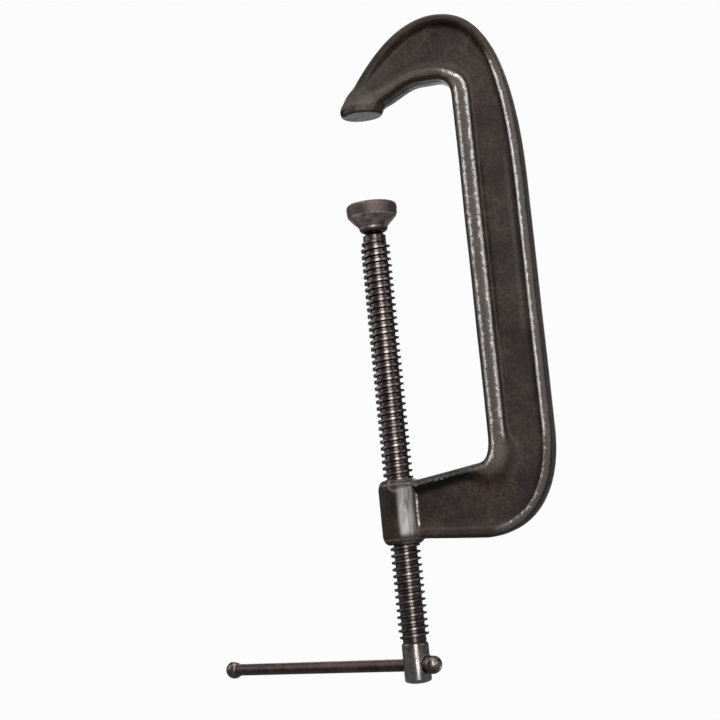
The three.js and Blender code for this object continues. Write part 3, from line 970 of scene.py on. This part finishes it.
def worked_steel(name, dark, light, bare, roughness, spread=0.17, stretch=None):
    """Black-oxide steel, rubbed bright where wear is marked, which on the pad's cone is partly painted
    light. Roughness is its least and its most, spread how ragged the rubbed places are, and stretch the
    scale of the marks that turning leaves."""
    n = Nodes(name)
    blotches, fine = n.noise(130, 5, 0.6), n.noise(900, 4)
    finish = n.mixed(n.ranged(blotches, 0.35, 0.7), colour(*dark), colour(*light))
    broken = n.math("ADD", n.mark("wear"), n.ranged(n.noise(260, 4, 0.6), 0.3, 0.7, -spread, spread))
    bright = n.ranged(broken, 0.2, 0.95)
    n.put(n.shader, "Base Color", n.mixed(bright, finish, colour(*bare)))
    n.put(n.shader, "Metallic", 1.0)
    dull = n.ranged(blotches, 0.25, 0.75, *roughness)
    n.put(n.shader, "Roughness", n.math("MULTIPLY", dull, n.ranged(bright, 0.0, 0.5, 1.0, 0.65)))
    surface = n.bump(fine, 0.00002, 0.3)
    if stretch is not None:
        turning_marks = n.noise(1.0, 3.0, place=n.stretched(stretch))
        surface = n.bump(turning_marks, 0.00002, 0.3, surface)
    n.put(n.shader, "Normal", surface)
    return n.material


def pale_floor():
    n = Nodes("pale_floor")
    n.put(n.shader, "Base Color", n.mixed(n.noise(6, 3), colour(0.86, 0.86, 0.86), colour(0.9, 0.9, 0.9)))
    n.put(n.shader, "Roughness", 0.9)
    return n.material


# ---------------------------------------------------------------- assembly

def fit(piece, body, slot_name, material, *nodes):
    """Gives a piece its material, hides the CAD nodes that it stands in for, and attaches it to its body.
    The slot name is not used.
    """
    piece.data.materials.clear()
    piece.data.materials.append(material)
    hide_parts(*nodes)
    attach(piece, body)


IRON = cast_iron()
SCREW_STEEL = worked_steel(
    "screw_steel", dark=(0.052, 0.041, 0.038), light=(0.082, 0.066, 0.061), bare=(0.56, 0.54, 0.53),
    roughness=(0.27, 0.33), spread=0.07, stretch=(300, 300, 5000),
)
PAD_STEEL = worked_steel(
    "pad_steel", dark=(0.064, 0.050, 0.047), light=(0.104, 0.083, 0.078), bare=(0.50, 0.43, 0.41),
    roughness=(0.56, 0.70), stretch=(200, 200, 6000),
)
RING_STEEL = worked_steel(
    "ring_steel", dark=(0.20, 0.19, 0.18), light=(0.30, 0.29, 0.28), bare=(0.4, 0.4, 0.4),
    roughness=(0.3, 0.4),
)
BAR_STEEL = worked_steel(
    "bar_steel", dark=(0.048, 0.032, 0.031), light=(0.088, 0.061, 0.058), bare=(0.40, 0.36, 0.35),
    roughness=(0.38, 0.52),
)
KNOB_STEEL = worked_steel(
    "knob_steel", dark=(0.075, 0.060, 0.057), light=(0.130, 0.106, 0.102), bare=(0.40, 0.38, 0.37),
    roughness=(0.24, 0.36),
)

fit(build_frame(), "frame", "frame_iron", IRON, "frame")
fit(build_screw(), "screw", "screw_steel", SCREW_STEEL, "screw")
fit(build_pad(), "swivel_pad", "pad_steel", PAD_STEEL, "swivel_pad")
fit(build_ring(), "pad_ring", "ring_steel", RING_STEEL, "pad_retaining_ring")
fit(build_bar(), "tommy_bar", "bar_steel", BAR_STEEL, "tommy_bar")
fit(build_knob("knob_near", NEAR_KNOB), "tommy_bar", "knob_steel", KNOB_STEEL, "bar_knob_near")
fit(build_knob("knob_far", FAR_KNOB), "tommy_bar", "knob_steel", KNOB_STEEL, "bar_knob_far")


# ---------------------------------------------------------------- stage, light and camera

VIEW_AZIMUTH = math.radians(14)
VIEW_ELEVATION = math.radians(-6.5)
VIEW_ROLL = math.radians(-5.6)       # the clamp's top leans to the left
VIEW_DISTANCE = 1.0                  # metres, as are the other sizes of the stage
SENSOR_WIDTH_MM = 36
LENS_MM = 80
FLOOR_Z = -0.57                      # below the screw's end when it is turned right down
FLOOR_RADIUS = 1.2


def direction(azimuth, elevation):
    """The way from the object to a camera or a light. Azimuth 0 is in front, on -Y."""
    return Vector((
        math.sin(azimuth) * math.cos(elevation),
        -math.cos(azimuth) * math.cos(elevation),
        math.sin(elevation),
    ))


def facing(point, target, roll=0.0):
    """A place and turn for something at point that looks along its own -Z at target."""
    look = (target - point).normalized()
    turn = look.to_track_quat("-Z", "Y").to_matrix() @ Matrix.Rotation(roll, 3, "Z")
    return Matrix.Translation(point) @ turn.to_4x4()


def softbox(name, target, azimuth, elevation, distance, size, power):
    """A broad lamp that looks at the target and isn't seen itself."""
    light = bpy.data.lights.new(name, "AREA")
    light.shape = "RECTANGLE"
    light.size, light.size_y = size
    light.energy = power
    lamp = bpy.data.objects.new(name, light)
    bpy.context.collection.objects.link(lamp)
    away = direction(math.radians(azimuth), math.radians(elevation))
    lamp.matrix_world = facing(target + distance * away, target)
    lamp.visible_camera = False


def build_floor():
    sides, radius = 64, FLOOR_RADIUS / MM
    edge = [(radius * math.cos(a), radius * math.sin(a), 0) for a in TURN * np.arange(sides) / sides]
    vertices = [(0, 0, 0)] + edge
    faces = [(0, 1 + i, 1 + (i + 1) % sides) for i in range(sides)]
    floor = new_piece("floor", vertices, faces)
    floor.location.z = FLOOR_Z
    floor.data.materials.append(pale_floor())
    # Flagged off, so that no light comes up from it into the shadows.
    floor.visible_diffuse = False
    floor.visible_glossy = False


def build_world():
    """Pale all round to look at, and dimmer as a light so that dark steel keeps its contrast."""
    world = bpy.data.worlds.new("studio")
    world.use_nodes = True
    tree = world.node_tree
    seen = tree.nodes.new("ShaderNodeBackground")
    seen.inputs["Color"].default_value = colour(0.975, 0.975, 0.975)
    seen.inputs["Strength"].default_value = 1.0
    lit = tree.nodes["Background"]
    lit.inputs["Color"].default_value = colour(0.95, 0.97, 1.0)
    lit.inputs["Strength"].default_value = 0.30
    path = tree.nodes.new("ShaderNodeLightPath")
    chosen = tree.nodes.new("ShaderNodeMixShader")
    tree.links.new(path.outputs["Is Camera Ray"], chosen.inputs[0])
    tree.links.new(lit.outputs[0], chosen.inputs[1])
    tree.links.new(seen.outputs[0], chosen.inputs[2])
    tree.links.new(chosen.outputs[0], tree.nodes["World Output"].inputs["Surface"])
    bpy.context.scene.world = world


def build_camera(target):
    camera = bpy.data.cameras.new("camera")
    camera.sensor_width = SENSOR_WIDTH_MM
    camera.lens = LENS_MM
    camera.clip_start = 0.01
    eye = bpy.data.objects.new("camera", camera)
    bpy.context.collection.objects.link(eye)
    place = target + VIEW_DISTANCE * direction(VIEW_AZIMUTH, VIEW_ELEVATION)
    eye.matrix_world = facing(place, target, VIEW_ROLL)
    bpy.context.scene.camera = eye


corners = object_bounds()
centre = (Vector(corners[0]) + Vector(corners[1])) / 2
build_floor()
build_world()
softbox("key", centre, azimuth=19, elevation=17, distance=1.3, size=(0.5, 1.5), power=25)
softbox("right", centre, azimuth=78, elevation=25, distance=1.3, size=(1.0, 1.2), power=7)
softbox("top", centre, azimuth=0, elevation=80, distance=0.9, size=(0.9, 0.7), power=9)
softbox("left", centre, azimuth=-75, elevation=25, distance=1.3, size=(1.0, 1.2), power=8)
softbox("behind", centre, azimuth=190, elevation=20, distance=1.3, size=(0.8, 1.4), power=14)
build_camera(centre)
bpy.context.scene.view_settings.view_transform = "Standard"
